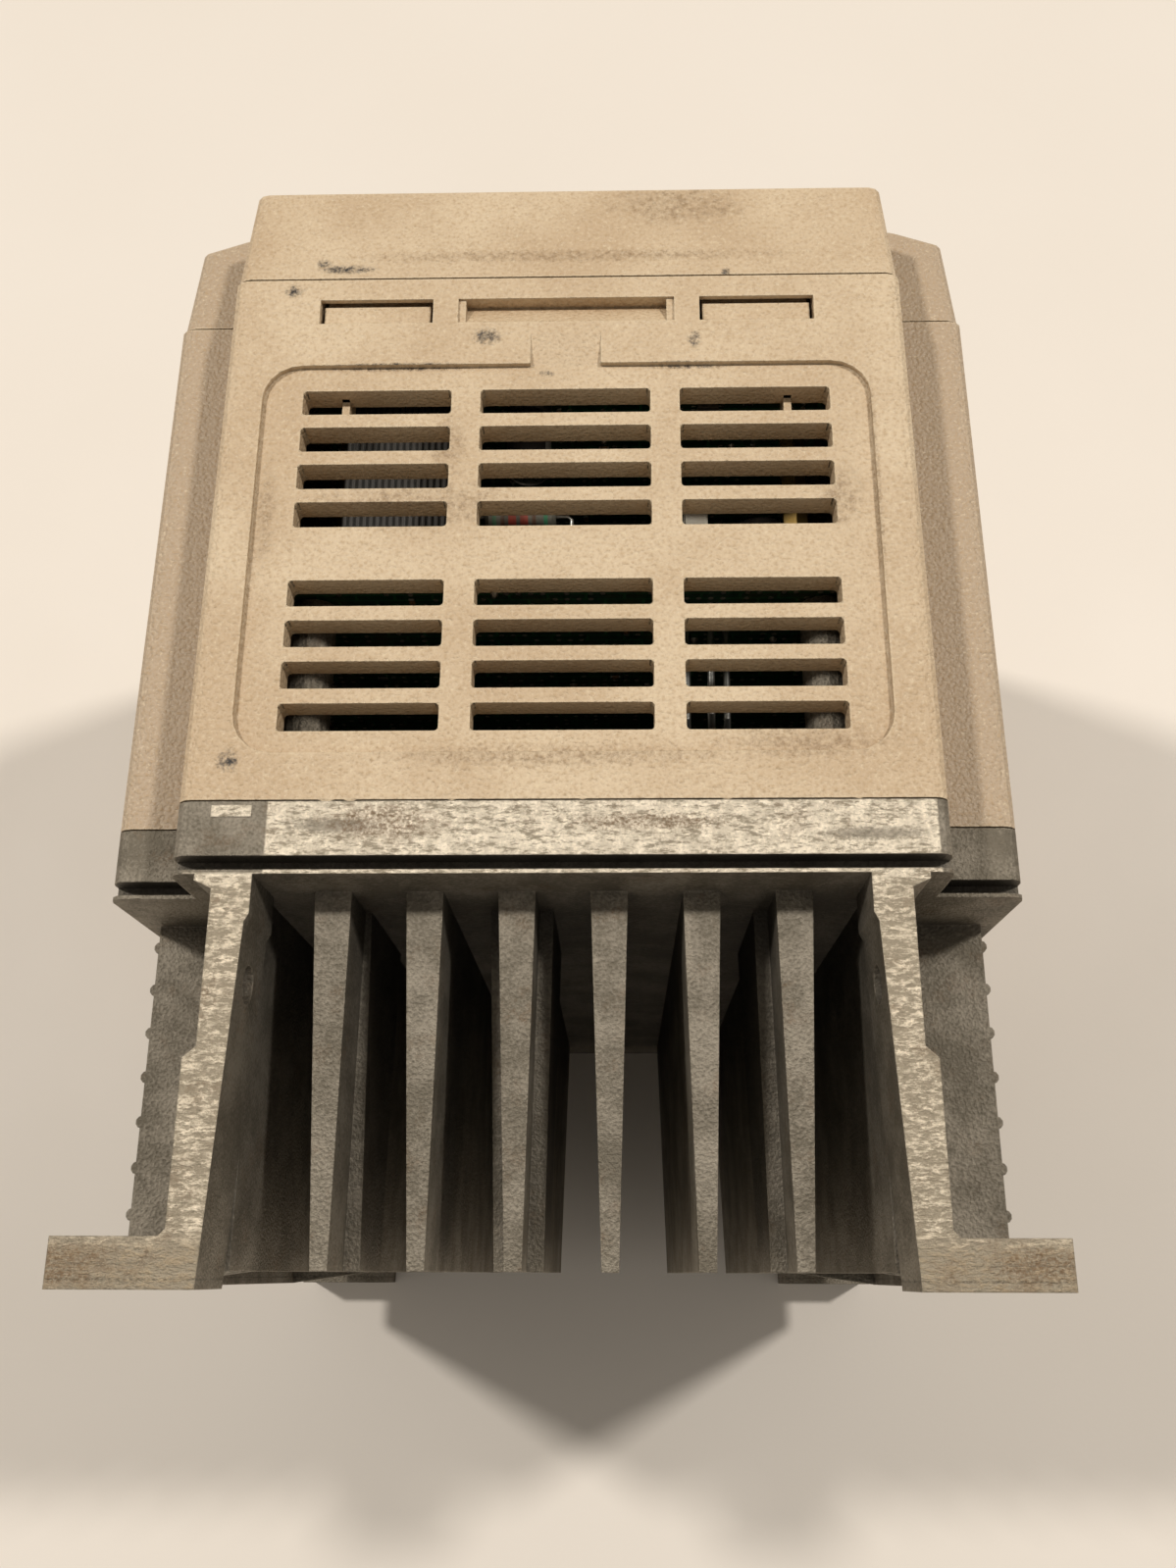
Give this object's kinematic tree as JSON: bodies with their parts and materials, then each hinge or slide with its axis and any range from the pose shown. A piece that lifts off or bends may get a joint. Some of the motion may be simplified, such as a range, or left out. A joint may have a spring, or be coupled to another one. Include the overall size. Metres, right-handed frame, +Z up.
{
  "type": "motor drive for a door operator",
  "caption": "Motor drive with a die-cast finned heat sink on wall feet, a louvred cream housing, boards and power parts inside, and lift-off front covers with a plug-in keypad.",
  "frame": {"origin": "middle of the lower end in width and depth, on the plane the drive stands on", "axes": "+Z up, from the cable entry end to the louvred end; the front covers face -Y and the wall feet face +Y; +X to the right seen from the front"},
  "size_m": [0.18, 0.2362, 0.223],
  "materials": {
    "cast_aluminium": "rough die casting with ground bright end faces",
    "cream_plastic": "fine sand-textured moulding",
    "black_rubber": "matt",
    "module_plastic": "matt moulded epoxy",
    "zinc_steel": "bright zinc plate",
    "circuit_board": "solder mask over glass fibre",
    "capacitor_sleeve": "shrunk sleeve",
    "transformer_tape": "varnished tape",
    "relay_plastic": "moulded case",
    "dark_plastic": "fine texture",
    "resistor_lacquer": "lacquer",
    "terminal_plastic": "moulded",
    "terminal_green": "moulded",
    "brass": "bright turned",
    "ribbon": "ribbed sheath",
    "smoked_window": "polished",
    "key_grey": "matt silicone",
    "key_green": "matt silicone",
    "key_red": "matt silicone"
  },
  "bodies": {
    "drive": {"heat_sink": "cast_aluminium", "housing": "cream_plastic", "cable_entry_plate": "cream_plastic", "grommet_1": "black_rubber", "grommet_2": "black_rubber", "grommet_3": "black_rubber", "power_module": "module_plastic", "rectifier_module": "module_plastic", "power_module_screw_left": "zinc_steel", "power_module_screw_right": "zinc_steel", "rectifier_screw_left": "zinc_steel", "rectifier_screw_right": "zinc_steel", "board_screw_upper_left": "zinc_steel", "board_screw_upper_right": "zinc_steel", "board_screw_lower_left": "zinc_steel", "board_screw_lower_right": "zinc_steel", "terminal_screw_1": "zinc_steel", "terminal_screw_2": "zinc_steel", "terminal_screw_3": "zinc_steel", "terminal_screw_4": "zinc_steel", "terminal_screw_5": "zinc_steel", "terminal_screw_6": "zinc_steel", "power_board": "circuit_board", "control_board": "circuit_board", "bus_capacitor_left": "capacitor_sleeve", "bus_capacitor_right": "capacitor_sleeve", "snubber_capacitor": "capacitor_sleeve", "filter_capacitor": "capacitor_sleeve", "smoothing_capacitor": "capacitor_sleeve", "transformer": "transformer_tape", "charge_relay": "relay_plastic", "current_sensor_left": "dark_plastic", "current_sensor_right": "dark_plastic", "logic_switch_body": "dark_plastic", "charge_resistor": "resistor_lacquer", "main_terminal_block": "terminal_plastic", "control_terminal_block": "terminal_green", "board_spacer_upper_left": "brass", "board_spacer_upper_right": "brass", "board_spacer_lower_left": "brass", "board_spacer_lower_right": "brass", "ribbon_cable": "ribbon"},
    "front_cover": {"front_cover": "cream_plastic"},
    "keypad": {"keypad": "dark_plastic", "display_window": "smoked_window"},
    "terminal_cover": {"terminal_cover": "cream_plastic"},
    "logic_switch_lever": {"logic_switch_lever": "relay_plastic"},
    "key_program": {"key_program": "key_grey"},
    "key_up": {"key_up": "key_grey"},
    "key_reset": {"key_reset": "key_grey"},
    "key_shift": {"key_shift": "key_grey"},
    "key_function": {"key_function": "key_grey"},
    "key_down": {"key_down": "key_grey"},
    "key_run": {"key_run": "key_green"},
    "key_stop": {"key_stop": "key_red"}
  },
  "joints": [
    {"name": "front_cover_lift", "type": "slide", "parent": "drive", "child": "front_cover", "axis": [0, -1, 0], "range_m": [0, 0.08]},
    {"name": "terminal_cover_lift", "type": "slide", "parent": "drive", "child": "terminal_cover", "axis": [0, -1, 0], "range_m": [0, 0.08]},
    {"name": "keypad_unplug", "type": "slide", "parent": "front_cover", "child": "keypad", "axis": [0, -1, 0], "range_m": [0, 0.04]},
    {"name": "logic_switch_travel", "type": "slide", "parent": "drive", "child": "logic_switch_lever", "axis": [1, 0, 0], "range_m": [0, 0.003]},
    {"name": "key_program_press", "type": "slide", "parent": "keypad", "child": "key_program", "axis": [0, 1, 0], "range_m": [0, 0.0008], "stiffness_N_per_m": 500, "springref_m": -0.0005},
    {"name": "key_up_press", "type": "slide", "parent": "keypad", "child": "key_up", "axis": [0, 1, 0], "range_m": [0, 0.0008], "stiffness_N_per_m": 500, "springref_m": -0.0005},
    {"name": "key_reset_press", "type": "slide", "parent": "keypad", "child": "key_reset", "axis": [0, 1, 0], "range_m": [0, 0.0008], "stiffness_N_per_m": 500, "springref_m": -0.0005},
    {"name": "key_shift_press", "type": "slide", "parent": "keypad", "child": "key_shift", "axis": [0, 1, 0], "range_m": [0, 0.0008], "stiffness_N_per_m": 500, "springref_m": -0.0005},
    {"name": "key_function_press", "type": "slide", "parent": "keypad", "child": "key_function", "axis": [0, 1, 0], "range_m": [0, 0.0008], "stiffness_N_per_m": 500, "springref_m": -0.0005},
    {"name": "key_down_press", "type": "slide", "parent": "keypad", "child": "key_down", "axis": [0, 1, 0], "range_m": [0, 0.0008], "stiffness_N_per_m": 500, "springref_m": -0.0005},
    {"name": "key_run_press", "type": "slide", "parent": "keypad", "child": "key_run", "axis": [0, 1, 0], "range_m": [0, 0.0008], "stiffness_N_per_m": 500, "springref_m": -0.0005},
    {"name": "key_stop_press", "type": "slide", "parent": "keypad", "child": "key_stop", "axis": [0, 1, 0], "range_m": [0, 0.0008], "stiffness_N_per_m": 500, "springref_m": -0.0005}
  ]
}
